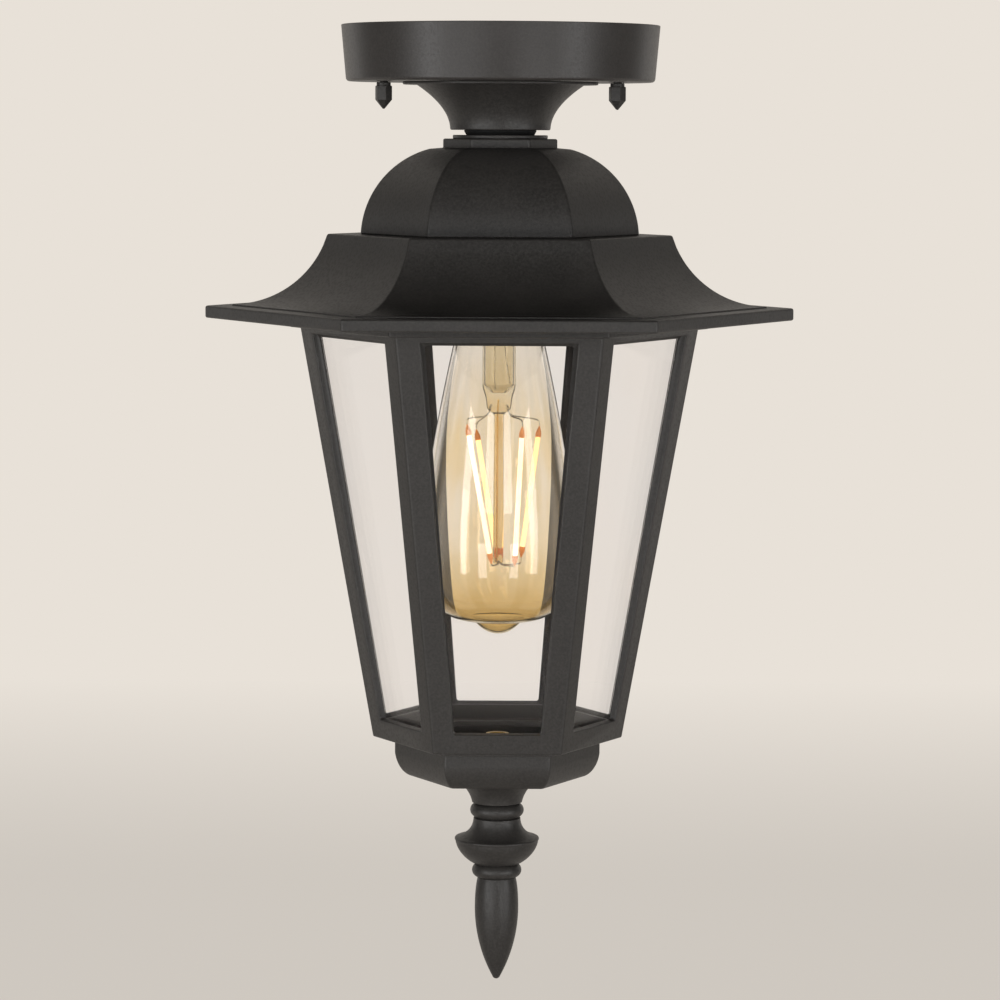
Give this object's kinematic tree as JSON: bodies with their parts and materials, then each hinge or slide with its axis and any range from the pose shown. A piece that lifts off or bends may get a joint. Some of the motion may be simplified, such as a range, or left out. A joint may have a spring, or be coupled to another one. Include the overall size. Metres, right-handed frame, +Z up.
{
  "type": "porch ceiling lantern",
  "caption": "Hexagonal porch ceiling lantern with a round canopy, domed and flared roof, tapered glazed cage, drop finial and a filament-style bulb.",
  "frame": {"origin": "on the lantern axis in the plane of the ceiling, midway between the two outlet box screws", "axes": "+Z up out of the ceiling side of the canopy, -Y out of the front face, +X to the right seen from the front"},
  "size_m": [0.2254, 0.1952, 0.3685],
  "materials": {
    "cast_dark": "charcoal powder coat, fine texture, satin",
    "pan_dark": "charcoal powder coat, satin",
    "zinc_steel": "zinc plated",
    "brass": "bright",
    "green_steel": "green passivated",
    "seal_rubber": "matte",
    "phenolic": "satin",
    "porcelain": "glazed",
    "black_insulation": "semi-gloss",
    "white_insulation": "semi-gloss",
    "orange_plastic": "semi-gloss",
    "clear_glass": "clear, polished",
    "amber_glass": "amber tinted, clear towards the neck",
    "stem_glass": "clear",
    "nickel_wire": "drawn",
    "filament": "phosphor coated, lit warm white",
    "cap_metal": "copper coloured"
  },
  "bodies": {
    "ceiling_bar": {"box_strap": "zinc_steel", "swivel_eyelet": "brass", "ground_screw": "green_steel"},
    "fixture": {"canopy_strap": "zinc_steel", "canopy_studs": "zinc_steel", "stud_lock_nuts": "zinc_steel", "canopy": "pan_dark", "neck": "cast_dark", "upper_nipple": "zinc_steel", "canopy_lock_nut": "zinc_steel", "seal_washer": "seal_rubber", "collar_plate": "pan_dark", "dome": "cast_dark", "dome_lock_nut": "zinc_steel", "roof_skirt": "cast_dark", "roof_screws": "zinc_steel", "socket_cap": "phenolic", "socket_body": "porcelain", "socket_screws": "zinc_steel", "socket_shell": "brass", "socket_contact": "brass", "lead_black": "black_insulation", "lead_white": "white_insulation", "wire_connectors": "orange_plastic"},
    "cap_nut_left": {"canopy_nut_left": "cast_dark"},
    "cap_nut_right": {"canopy_nut_right": "cast_dark"},
    "cage": {"cage_frame": "cast_dark", "pane_front": "clear_glass", "pane_front_right": "clear_glass", "pane_rear_right": "clear_glass", "pane_rear": "clear_glass", "pane_rear_left": "clear_glass", "pane_front_left": "clear_glass", "pane_clips": "zinc_steel", "clip_screws": "zinc_steel", "cage_screws": "zinc_steel", "bottom_cup": "cast_dark", "cup_screws": "zinc_steel", "finial_nipple": "brass", "finial_lock_nut": "zinc_steel"},
    "finial": {"finial": "cast_dark"},
    "bulb": {"bulb_envelope": "amber_glass", "bulb_base": "zinc_steel", "bulb_insulator": "phenolic", "bulb_contact": "zinc_steel", "bulb_stem": "stem_glass", "bulb_support_wires": "nickel_wire", "bulb_filaments": "filament", "filament_caps": "cap_metal"}
  },
  "joints": [
    {"name": "strap_swivel", "type": "hinge", "parent": "ceiling_bar", "child": "fixture", "pos_m": [0, 0, 0], "axis": [0, 0, 1], "range_deg": [-60, 60]},
    {"name": "left_nut_turn", "type": "hinge", "parent": "fixture", "child": "cap_nut_left", "pos_m": [-0.04445, 0, -0.025], "axis": [0, 0, 1], "continuous": true},
    {"name": "right_nut_turn", "type": "hinge", "parent": "fixture", "child": "cap_nut_right", "pos_m": [0.04445, 0, -0.025], "axis": [0, 0, 1], "continuous": true},
    {"name": "bulb_removal", "type": "slide", "parent": "fixture", "child": "bulb", "axis": [0, 0, 1], "range_m": [-0.036, 0]},
    {"name": "cage_removal", "type": "slide", "parent": "fixture", "child": "cage", "axis": [0, 0, 1], "range_m": [-0.15, 0]},
    {"name": "finial_turn", "type": "hinge", "parent": "cage", "child": "finial", "pos_m": [0, 0, -0.29], "axis": [0, 0, 1], "continuous": true}
  ]
}
